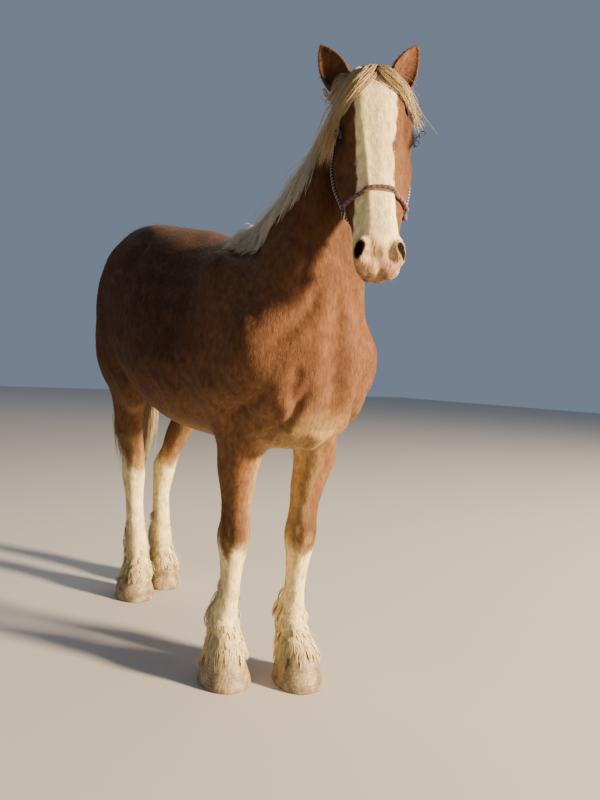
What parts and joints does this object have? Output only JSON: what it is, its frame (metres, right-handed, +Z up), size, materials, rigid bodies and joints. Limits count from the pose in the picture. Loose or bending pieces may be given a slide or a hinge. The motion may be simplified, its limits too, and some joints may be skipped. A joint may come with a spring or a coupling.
{
  "type": "belgian draft horse, standing, life-size model",
  "caption": "Standing Belgian draft horse with its head turned to its right, flaxen mane and tail, white blaze and stockings, wearing a rope halter.",
  "frame": {"origin": "on the floor, below the middle of the bounding box", "axes": "+Z up; the horse faces -Y, so its left side is at +X and its tail at +Y"},
  "size_m": [0.7485, 2.1523, 2.3283],
  "materials": {
    "sorrel_coat": "short sorrel coat, white blaze and stockings, flaxen mane and forelock",
    "flaxen_hair": "long coarse flaxen hair",
    "hoof_horn": "pale worn horn",
    "eye": "wet dark brown",
    "halter_rope": "braided burgundy and black rope",
    "halter_metal": "worn plated ring"
  },
  "bodies": {
    "root": {"torso": "sorrel_coat", "neck": "sorrel_coat", "head": "sorrel_coat", "ear_left": "sorrel_coat", "ear_right": "sorrel_coat", "eye_left": "eye", "eye_right": "eye", "foreleg_left": "sorrel_coat", "foreleg_right": "sorrel_coat", "hindleg_left": "sorrel_coat", "hindleg_right": "sorrel_coat", "fore_hoof_left": "hoof_horn", "fore_hoof_right": "hoof_horn", "hind_hoof_left": "hoof_horn", "hind_hoof_right": "hoof_horn", "tail": "flaxen_hair", "halter_ring_right": "halter_metal", "halter_knot_left": "halter_rope", "halter_noseband": "halter_rope", "halter_chin": "halter_rope", "halter_headstall": "halter_rope", "halter_throat": "halter_rope"}
  },
  "joints": []
}
